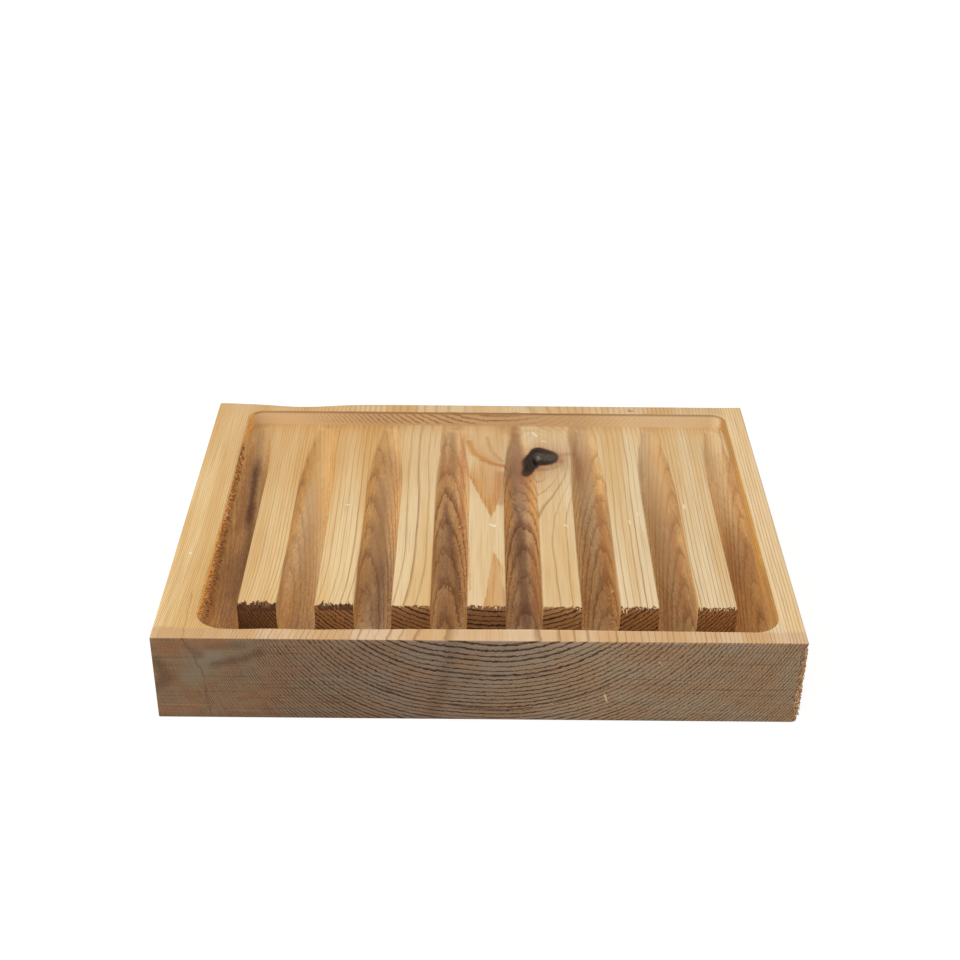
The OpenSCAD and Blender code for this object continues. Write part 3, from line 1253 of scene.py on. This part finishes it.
front_marks = [
    (crack_brown, 0.7, 0.05, 0.25, ((-54.2, 18.6), (-52.2, 14.5), (-50.8, 10))),
    (crack_brown, 0.4, 0.03, 0.25, ((-50.8, 10), (-50.3, 4.5), (-50.2, 0.5))),
    (olive, 0.5, 0.6, 3.4, ((-53, 9.5), (-49, 13.5))),
    (olive, 0.35, 0.6, 2.6, ((-53, 15.5), (-43, 16))),
    (dark, 0.5, 0.0, 2.4, ((-59.0, 13.0), (-57.5, 9.5), (-59.5, 7.5))),
    (dark, 0.5, 0.0, 1.7, ((-53, 16.6), (-51, 14.8))),
    (dark, 0.5, 0.0, 1.6, ((-48.5, 12.6), (-44, 13.6), (-40, 15.4))),
    (dark, 0.4, 0.0, 1.4, ((-49.5, 16.6), (-43, 17.0))),
    (rust, 0.12, 0.2, 3.0, ((-52, 3), (-40, 5))),
    (rust, 0.3, 0.2, 1.6, ((-58, 1.5), (-53, 2.5))),
    (rust, 0.3, 0.2, 2.6, ((-57, 16), (-47, 17.4))),
    (dark, 0.28, 0.2, 2.2, ((-4.4, 18), (-8.6, 2))),
    (dark, 0.75, 0.06, 0.22, ((-5.4, 3.7), (-2, 2.9), (5, 2.45), (10, 3.1))),
    (dark, 0.6, 0.05, 0.22, ((14, 4.1), (20, 6.4), (24, 8.3))),
    (dark, 0.6, 0.05, 0.2, ((-19, 8.2), (-14, 5.4))),
    (pale_fibre, 0.9, 0.1, 0.15, ((23.4, 6.3), (23.9, 4.7))),
    (pale_fibre, 0.6, 0.08, 0.12, ((33.1, 13.9), (33.4, 13.5))),
]
print(len(top_marks), "marks and", len(streaks), "streaks on top,", len(front_marks), "in front")

# %% Lay marks over a colour
def add_marks(wires, color, place, squeeze, marks, where):
    """squeeze lays the place onto the marks' plane. where is 1 on the faces that they belong to."""
    flat = wires.move("MULTIPLY", place, squeeze)
    for mark_color, strength, half_width, fade, points in marks:
        spots = [(a * squeeze[0], b * squeeze[1], b * squeeze[2]) for a, b in points]
        mark = None
        for start, end in zip(spots, spots[1:]):
            stroke = wires.use("stroke", Place_mm=flat, From=start, To=end,
                               Half_width=half_width, Fade=fade)["Mark"]
            mark = wires.calc("MAXIMUM", mark, stroke) if mark else stroke
        color = (mark * strength * where).mix(color, mark_color)
    return color


print("marks can be laid on the wood")

# %% [markdown]
# Now the wood itself. Where a face runs along the fibres it is straw-coloured with orange-brown
# lines. Where it cuts across them, on the front face and the rib ends, open pores drink the light
# and the wood is grey-brown. Down in the channels a round cutter has torn the fibres, which are
# rougher and browner, and the deep floors are darkened further with painted shade. A mesh
# attribute, facing, tells which way each point of the board faces.
# Places are in millimetres: x to the right and y to the back from the board's middle, z up from the
# underside. A tint is three shares, of red, green and blue, that a colour is multiplied by.

# %% Material: planed softwood, which face is which
wood, wires, place_mm = new_material("planed softwood")
rings = wires.use("growth rings", Place_mm=place_mm)
fibres = wires.use("fibres", Place_mm=place_mm)
x, y, z = wires.split(place_mm)
facing_x, facing_y, _ = wires.split(wires.attribute("facing", "Vector"))
end_share = abs(facing_y).ease(0.45, 0.85)
at_outside = abs(y).ease(43.5, 44.5)
at_rib_end = abs(y - rib_front_y).ease(2.5, 1.0)
below_top = rib_top_z - z
deep = below_top.ease(0.1, 1.6)
deeper = below_top.ease(0.8, 5.5)
inside = abs(x).ease(56.2, 55.75) * abs(y).ease(41.9, 41.6)
side_channel = abs(x - 1.5).ease(25.5, 30.0) * x.ease(-46.0, -44.0)
fade_start = side_channel * -50.0 + 26.0
fade_end = side_channel * -16.0 + 42.0
channel = deep * inside * y.ease(fade_start, fade_end, 1.0, x.ease(10.0, 40.0, 0.2, 0.31))
below_rim = inside * z.ease(board_h - 0.05, board_h - 0.25)
left_wall = below_rim * facing_x.ease(0.3, 0.8)
right_wall = below_rim * facing_x.ease(-0.3, -0.8)
rough_share = wires.calc("MAXIMUM", channel, wires.calc("MAXIMUM", left_wall, right_wall))
print("faces are told apart by", len(wood.node_tree.nodes), "nodes")

# %% Material: planed softwood, lines along the fibres
feather = wires.noise(place_mm, (1.5, 0.35, 1.5), 4.0, 0.6) * 0.9 - 0.45
lines = wires.use("ring lines", Phase=rings["Phase"] + feather * channel, Start=channel * -0.3 + 0.62)
on_rib_4 = abs(x - 0.6).ease(4.6, 3.2) * (1 - deep)
behind_knot = y.ease(27.0, 31.0) * -0.3
quiet = rings["Knot"].ease(behind_knot + 0.45, behind_knot + 0.85, 1.0, 0.1)
quiet = quiet * (1 - on_rib_4 * 0.85)
feathered = abs(x + 4.0).ease(6.0, 34.0, 1.0, x.ease(-20.0, 20.0, 0.4, 0.65))
quiet = quiet * (1 - deep * (1 - feathered))
line = lines["Latewood"] * (fibres["Fine"] * 0.7 + 0.5)
soft_line = abs(lines["Share"] - 0.75).ease(0.0, 0.25, 0.55, 0.0)
line = y.ease(36.0, 42.0).mix(line, soft_line) * quiet * y.ease(-5.0, 30.0, 1.0, 0.72)
print("lines along the fibres:", len(wood.node_tree.nodes), "nodes so far")

# %% Material: planed softwood, colours along the fibres
straw = srgb(236, 206, 156)
straw_warm = srgb(226, 184, 122)
late_brown = srgb(168, 124, 76)
late_channel = srgb(128, 88, 56)
torn_brown = srgb(96, 58, 36)
grime = (0.28, 0.13, 0.07)

pale = fibres["Broad"].ease(0.38, 0.66).mix(straw, straw_warm)
pale = wires.mix(1.0, pale, x.ease(-40.0, 5.0).mix((1.0, 0.97, 0.90), (1.0, 1.04, 1.13)), "MULTIPLY")
left_rim = x.ease(-50.0, -54.0)
front_rim_tint = x.ease(-30.0, 0.0).mix((0.88, 0.86, 1.02), (0.92, 0.84, 0.86))
rim_tint = (0.99, 0.96, 0.96)
for share, tint in ((left_rim, (1.06, 1.10, 1.14)), (y.ease(5.0, 40.0), (0.93, 0.87, 0.82)),
                    (x.ease(54.0, 56.0), (1.07, 1.01, 0.94)),
                    (left_rim * y.ease(-5.0, -30.0), (1.06, 1.13, 1.28)),
                    (y.ease(-41.0, -42.0), front_rim_tint)):
    rim_tint = share.mix(rim_tint, tint)
pale = (1 - inside).tint(pale, rim_tint)
pale = (y.ease(2.0, 26.0) * x.ease(12.0, 4.0) * inside).tint(pale, (0.93, 0.86, 0.78))
long_color = line.mix(pale, channel.mix(late_brown, late_channel))
long_color = fibres["Fine"].ease(0.42, 0.75, 0.0, 0.3).mix(long_color, late_brown)

to_right = x.ease(-32.0, 14.0)
middle_share = abs(x - 3.0).ease(28.0, 12.0)
mouth_tint = to_right.mix((1.05, 1.03, 1.04), (0.97, 0.77, 0.50))
mouth_tint = middle_share.mix(mouth_tint, (0.90, 0.69, 0.50))
# painted shade, mixed with the torn fibres' own browner colour: the deep channel floors are tinted,
# mostly darker
floor_tint_and_shade = to_right.mix((0.92, 0.90, 1.02), (0.76, 0.61, 0.47))
for share, tint in ((x.ease(-44.0, -48.0), (1.1, 0.95, 0.86)), (x.ease(48.0, 51.0), (0.95, 0.82, 0.66)),
                    (middle_share, (0.79, 0.66, 0.58))):
    floor_tint_and_shade = share.mix(floor_tint_and_shade, tint)
tint = (deeper * inside).mix(channel.mix((1, 1, 1), mouth_tint), floor_tint_and_shade)
in_second = x.ease(-29.0, -32.0) * x.ease(-42.0, -39.0) * y.ease(-22.0, 0.0)
tint = (in_second * channel).tint(tint, (1.07, 1.15, 1.20))
by_knot = x.ease(2.0, 8.0) * x.ease(31.0, 27.0) * y.ease(-8.0, 8.0)
by_knot_tint = x.ease(16.0, 22.0).mix((1.0, 1.0, 1.03), (0.87, 0.91, 0.99))
tint = (by_knot * channel).tint(tint, by_knot_tint)
# painted light: channel walls that face the left lamp are made paler and warmer near the rib tops
painted_light_wall = facing_x.ease(-0.35, -0.85) * below_top.ease(3.6, 0.3) * channel
wall_above = z.ease(rib_top_z - 1.0, rib_top_z + 0.5, 0.3, 1.0) * abs(x).ease(46.0, 50.0, 0.6, 1.0)
left_wall_tint = y.ease(5.0, 30.0).mix((1.85, 1.66, 1.14), (1.6, 1.5, 1.15))
for share, new_tint in ((painted_light_wall, (1.12, 0.98, 0.80)), (left_wall * wall_above, left_wall_tint),
                        (right_wall * wall_above, (0.94, 0.70, 0.33))):
    tint = share.mix(tint, new_tint)
long_color = wires.mix(1.0, long_color, tint, "MULTIPLY")
blotched = wires.mix(1.0, long_color, fibres["Torn"].ease(0.3, 0.7, 0.84, 1.12), "MULTIPLY")
grimy = wires.noise(place_mm, (0.12, 0.04, 0.12), 3.0).ease(0.42, 0.62, 0.0, 0.35)
long_color = rough_share.mix(long_color, grimy.mix(blotched, grime))
ragged = wires.noise(place_mm, (0.7, 0.5, 0.9), 4.0, 0.6).ease(0.42, 0.62, 0.0, 0.38)
ragged = ragged * left_wall * x.ease(-50.0, -51.5, 0.0, 0.4)
long_color = ragged.mix(long_color, torn_brown)
print("colours along the fibres:", len(wood.node_tree.nodes), "nodes so far")

# %% Material: planed softwood, the front face and the rib ends
end_pale = srgb(160, 138, 114)
end_warm = srgb(162, 130, 100)
end_dark = srgb(60, 42, 31)
rib_end_pale = srgb(174, 124, 78)
rib_end_dark = srgb(46, 25, 14)
steepen_x = -22.0
steepen = 0.013

wavy = wires.noise(place_mm, (0.9, 0.2, 1.4), 4.0, 0.6) - 0.5
wavy = wavy * abs(x).ease(10.0, 45.0, 0.8, 1.4)
steeper = wires.calc("MAXIMUM", steepen_x - x, 0.0) ** 2 * at_outside * steepen
end_lines = wires.use("ring lines", Phase=rings["Phase"] + wavy + steeper, Start=0.38)
sharp_line = end_lines["Latewood"].ease(0.1, 0.62)
pores = wires.noise(place_mm, (3.0, 0.4, 3.4), 4.0, 0.7)
saw = wires.noise(place_mm, (0.05, 0.02, 2.4), 4.0, 0.7)
broken = wires.noise(place_mm, (0.35, 0.35, 0.7), 4.0, 0.6)
broken = broken.ease(0.36, 0.6, x.ease(-45.0, -25.0, 0.45, 0.8), 1.0)
front_line = sharp_line * broken * pores.ease(0.25, 0.7, 1.3, 0.8)
front_line = front_line * x.ease(-50.0, -12.0, 0.72, 1.0) * x.ease(8.0, 35.0, 1.0, 0.75)
cloudy = wires.noise(place_mm, (0.09, 0.09, 0.16), 3.0).ease(0.35, 0.62)
front_tint = x.ease(-50.0, 25.0).mix((1.0, 0.86, 0.72), (1.32, 1.27, 1.18))
front_color = wires.mix(1.0, cloudy.mix(end_pale, end_warm), front_tint, "MULTIPLY")
front_color = abs(x + 14.0).ease(40.0, 8.0).tint(front_color, (0.84, 0.88, 0.99))
front_color = front_line.mix(front_color, end_dark)
# (texture, where it starts to show, where it shows most, how much, colour)
for texture, start, full, most, grain in ((saw, 0.5, 0.72, 0.4, end_dark),
                                          (saw, 0.42, 0.3, 0.16, pale_fibre),
                                          (pores, 0.5, 0.7, 0.45, end_dark),
                                          (pores, 0.42, 0.28, 0.3, pale_fibre)):
    front_color = texture.ease(start, full, 0.0, most).mix(front_color, grain)

rib_end_line = sharp_line * pores.ease(0.3, 0.65, 1.0, 0.8)
rib_end_color = rib_end_line.mix(rib_end_pale, rib_end_dark)
rib_end_color = x.ease(-44.0, -32.0, 0.5, 0.0).mix(rib_end_color, rib_end_dark)
# (middle, how far from it the tint starts, how far from it the tint is full, tint)
for middle, start, full, tint in ((16.0, 9.0, 2.0, (1.15, 1.26, 1.28)),
                                  (1.0, 7.0, 5.0, (0.84, 0.88, 0.94)),
                                  (0.0, 24.0, 32.0, (1.0, 0.97, 0.84))):
    rib_end_color = abs(x - middle).ease(start, full).tint(rib_end_color, tint)
print("front face and rib ends:", len(wood.node_tree.nodes), "nodes so far")

# %% Material: planed softwood, the recess's front and back walls
wall_pale = srgb(244, 208, 156)
wall_dark = srgb(176, 126, 78)

soft_end = abs(end_lines["Share"] - 0.72).ease(0.3, 0.0)
wall_line = soft_end * x.ease(2.0, 16.0, 0.85, 0.2) * x.ease(-46.0, -16.0, 0.25, 1.0)
wall_line = wall_line * below_top.ease(-0.15, -0.75)
# painted shadow: a dark band just under the top arris of the recess's end walls
painted_arris_shadow = z.ease(board_h - 0.9, board_h - 0.35) * 0.8
wall_line = wires.calc("MAXIMUM", wall_line, painted_arris_shadow)
wall_color = x.ease(18.0, 42.0).tint(wall_line.mix(wall_pale, wall_dark), (1.0, 1.06, 1.16))
wall_tint = abs(x + 4.0).ease(18.0, 44.0).mix((0.73, 0.70, 0.69), (0.93, 0.95, 1.0))
wall_color = wires.mix(1.0, wall_color, wall_tint, "MULTIPLY")
end_color = at_outside.mix(at_rib_end.mix(wall_color, rib_end_color), front_color)
color = end_share.mix(long_color, end_color)
# the torn notches are dark brown: the broken end grain's own colour, and partly painted shade inside
# the notches
color = wires.attribute("torn").ease(0.15, 0.6, 0.0, 0.9).mix(color, torn_brown)
print("across the fibres:", len(wood.node_tree.nodes), "nodes so far")

# %% Material: planed softwood, marks, sheen and relief
wobble_scale = (0.7, 0.7, 0.7)
grain_squeeze = 0.22
chip_pale = srgb(255, 218, 158)
chip_dark = srgb(188, 126, 76)

wobble = wires.noise(place_mm, wobble_scale, 2.0, output="Color")
wobble = wires.move("SUBTRACT", wobble, (0.5, 0.5, 0.5))
wobbled = wires.move("ADD", place_mm, wobble)
from_top = 1 - end_share
color = add_marks(wires, color, wobbled, (1.0, grain_squeeze, 0.0), streaks, from_top * inside)
color = add_marks(wires, color, wobbled, (1.0, 1.0, 0.0), top_marks, from_top)
streaky = fibres["Fine"].ease(0.3, 0.65, 0.6, 1.2)
for strength, apex_x, apex_y, left_slope, right_slope, way, length in flames:
    flame = wires.use("flame", Place_mm=wobbled, Apex_x=apex_x, Apex_y=apex_y, Left_slope=left_slope,
                      Right_slope=right_slope, Way=way, Length=length)["Mark"]
    color = (flame * streaky * on_rib_4 * strength * from_top).mix(color, flame_orange)
front_wobble = x.ease(-38.0, -30.0).mix(wires.move("MULTIPLY", wobble, (1.6, 1.6, 1.0)),
                                        wires.move("MULTIPLY", wobble, (0.35, 0.35, 0.35)))
front_share = facing_y.ease(-0.5, -0.85) * at_outside * pores.ease(0.3, 0.6, 0.55, 1.0)
color = add_marks(wires, color, wires.move("ADD", place_mm, front_wobble), (1.0, 0.0, 1.0),
                  front_marks, front_share)
halo_share = wires.attribute("halo") * fibres["Fine"].ease(0.3, 0.7, 0.7, 1.0)
color = halo_share.mix(color, halo)
# darker brown in a narrow fringe along the knot's outline
color = (wires.attribute("dark_fringe") * 0.9).mix(color, near_knot_brown)
chip_grain = wires.noise(place_mm, (2.2, 2.2, 1.2), 3.0).ease(0.42, 0.6)
chip_share = wires.attribute("chipped").ease(0.1, 0.6, 0.0, 0.9)
color = chip_share.mix(color, chip_grain.mix(chip_dark, chip_pale))
rough = fibres["Fine"] * 0.2 + rough_share * 0.2 + 0.5
relief = fibres["Fine"] * 0.03 + lines["Latewood"] * 0.02
torn_relief = fibres["Torn"] * rough_share * 0.3
end_relief = (pores + saw) * end_share * 0.06
finish_material(wires, color, rough, 0.3, 1.0, relief + torn_relief + end_relief)
print("softwood:", len(wood.node_tree.nodes), "nodes and", len(bpy.data.node_groups), "groups")

# %% Make an object of a finished mesh
def as_object(shape, name, material):
    """Turn a shape in millimetres into a piece in metres that rides with the board."""
    for vertex in shape.verts:
        vertex.co *= mm
    mesh = bpy.data.meshes.new(name)
    shape.to_mesh(mesh)
    shape.free()
    facing = mesh.attributes.new("facing", "FLOAT_VECTOR", "POINT")
    for vertex, item in zip(mesh.vertices, facing.data):
        item.vector = vertex.normal
    piece = bpy.data.objects.new(name, mesh)
    bpy.context.scene.collection.objects.link(piece)
    mesh.materials.append(material)
    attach(piece, "root")
    return piece


board_piece = as_object(board, "carved_board", wood)
board_piece.data.set_sharp_from_angle(angle=math.radians(40))
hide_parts("dish_body")
print("board piece:", len(board_piece.data.polygons), "faces")

# %% [markdown]
# Loose fibres are so thin that light shines into them, so they look paler than the wood behind.
# Each carries its own tone as a mesh attribute.

# %% Material: loose fibres
fibre_dark = srgb(74, 42, 28)
fibre_brown = srgb(194, 144, 92)
fibre_pale = srgb(252, 224, 182)
fibre_wood, wires, place_mm = new_material("loose fibres")
tone = wires.attribute("tone")
uneven_tone = wires.noise(place_mm, (3.0, 3.0, 3.0), 2.0) * 0.5 - 0.25
fibre_color = (tone + uneven_tone).mix(fibre_brown, fibre_pale)
fibre_color = tone.ease(-0.1, -0.9).mix(fibre_color, fibre_dark)
wires.feed(fibre_wood.node_tree.nodes["Principled BSDF"].inputs,
           {"Base Color": fibre_color, "Roughness": 0.9, "Specular IOR Level": 0.06})

fuzz_piece = as_object(fuzz, "loose_fibres", fibre_wood)
print("loose fibres:", len(fuzz_piece.data.polygons), "faces")

# %% [markdown]
# The knot's wood is nearly black, with bark in its rim, and old resin has dried on it in a dull
# gloss. A grey sheen is painted across its head, with a small painted highlight on the ridge.

# %% Material: dead knot
black = srgb(34, 24, 16)
painted_sheen_grey = srgb(92, 78, 66)
bark = srgb(82, 56, 36)
painted_glint_grey = srgb(150, 144, 146)
knot_wood, wires, place_mm = new_material("dead knot")
grains = wires.noise(place_mm, (1.6, 1.6, 1.6), 5.0, 0.7)
fine = wires.noise(place_mm, (6.0, 6.0, 6.0), 3.0, 0.6)
flat_mm = wires.move("MULTIPLY", place_mm, (1.0, 1.0, 0.0))
# painted sheen: grey over the head's ridge; painted highlight: a small pale glint beside it
painted_head_sheen = wires.use("stroke", Place_mm=flat_mm, From=(13.4, 28.2, 0.0), To=(15.6, 27.6, 0.0),
                    Half_width=0.7, Fade=1.5)["Mark"]
painted_glint = wires.use("stroke", Place_mm=flat_mm, From=(12.9, 27.5, 0.0), To=(13.2, 27.2, 0.0),
                  Half_width=0.1, Fade=0.45)["Mark"]
knot_color = fine.ease(0.4, 0.75, 0.0, 0.6).mix(black, bark)
knot_color = (painted_head_sheen * grains.ease(0.25, 0.6, 0.3, 1.0) * 0.9).mix(knot_color, painted_sheen_grey)
knot_color = wires.attribute("rim").ease(0.8, 1.0, 0.0, 0.7).mix(knot_color, bark)
knot_color = (painted_glint * 0.4).mix(knot_color, painted_glint_grey)
finish_material(wires, knot_color, grains * 0.5 + 0.32, 0.22, 0.8, (grains + fine) * 0.12)

knot_piece = as_object(knot, "dead_knot_plug", knot_wood)
knot_piece.data.set_sharp_from_angle(angle=math.radians(60))
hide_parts("dead_knot")
print("knot piece:", len(knot_piece.data.polygons), "faces")

# %% [markdown]
# The camera stands where the photograph was taken from. Six corners of the board fix its place, its
# tilt and its field of view, for a square picture.

# %% Camera
focal_px = 1564.503
picture_px = 960
sensor_mm = 36.0
camera_place = Vector((-0.80046, -273.101, 190.4))
pitch = 0.54341
yaw = 0.0026989
roll = 0.0105282

ahead = Vector((math.sin(yaw) * math.cos(pitch), math.cos(yaw) * math.cos(pitch), -math.sin(pitch)))
level_right = Vector((math.cos(yaw), -math.sin(yaw), 0))
level_up = level_right.cross(ahead)
camera_right = math.cos(roll) * level_right + math.sin(roll) * level_up
camera_up = -math.sin(roll) * level_right + math.cos(roll) * level_up

lens = bpy.data.cameras.new("lens")
lens.sensor_width = sensor_mm
lens.lens = focal_px * sensor_mm / picture_px
lens.clip_start = 0.01
lens.clip_end = 20
camera = bpy.data.objects.new("camera", lens)
camera.location = camera_place * mm
axes = (camera_right, camera_up, -ahead)
turned = [[axis[row] for axis in axes] for row in range(3)]
camera.rotation_euler = Matrix(turned).to_euler()
bpy.context.scene.collection.objects.link(camera)
bpy.context.scene.camera = camera
bpy.context.scene.view_settings.view_transform = "Standard"
print("camera", tuple(round(v, 3) for v in camera.location), "lens", round(lens.lens, 2))

# %% [markdown]
# Two soft lamps stand for windows on the left and in front. The world and the paper under the dish
# are plain white to the camera, and give off a little less light than that to the wood.

# %% Lamps
def area_lamp(name, place, size, power):
    light = bpy.data.lights.new(name, "AREA")
    light.size = size
    light.energy = power
    lamp = bpy.data.objects.new(name, light)
    lamp.location = place
    lamp.rotation_euler = (-Vector(place)).to_track_quat("-Z", "Y").to_euler()
    bpy.context.scene.collection.objects.link(lamp)


area_lamp("window on the left", (-0.6, -0.05, 0.38), 0.4, 1.65)
area_lamp("window in front", (-0.3, -0.55, 0.42), 0.4, 1.1)

# %% World and floor
white = (1, 1, 1)
fill_light = 0.71
paper_glow = 0.85
paper_seen = (0.25, 0.25, 0.25)
paper_unseen = (0.3, 0.3, 0.3)


def seen_or_not(wires, output, seen, unseen):
    """Show one shader to the camera and the other one to all other light."""
    ray = wires.node("ShaderNodeLightPath", output="Is Camera Ray")
    shader = wires.node("ShaderNodeMixShader", {0: ray, 1: unseen, 2: seen})
    wires.feed(wires.tree.nodes.new(output).inputs, {"Surface": shader})


world = bpy.data.worlds.new("surroundings")
world.use_nodes = True
world.node_tree.nodes.clear()
bpy.context.scene.world = world
wires = Wiring(world.node_tree)
seen_or_not(wires, "ShaderNodeOutputWorld",
            wires.node("ShaderNodeBackground", {"Color": white, "Strength": 1}),
            wires.node("ShaderNodeBackground", {"Color": white, "Strength": fill_light}))

floor_shape = bmesh.new()
bmesh.ops.create_grid(floor_shape, x_segments=1, y_segments=1, size=3)
floor_mesh = bpy.data.meshes.new("floor")
floor_shape.to_mesh(floor_mesh)
floor_shape.free()
floor = bpy.data.objects.new("floor", floor_mesh)
bpy.context.scene.collection.objects.link(floor)
floor_paper = bpy.data.materials.new("white paper")
floor_paper.use_nodes = True
floor_paper.node_tree.nodes.clear()
floor_mesh.materials.append(floor_paper)
wires = Wiring(floor_paper.node_tree)
glow = wires.node("ShaderNodeEmission", {"Color": white, "Strength": paper_glow})
matte = wires.node("ShaderNodeBsdfDiffuse", {"Color": paper_seen})
seen_or_not(wires, "ShaderNodeOutputMaterial", wires.node("ShaderNodeAddShader", {0: glow, 1: matte}),
            wires.node("ShaderNodeBsdfDiffuse", {"Color": paper_unseen}))
print("floor and world are white")
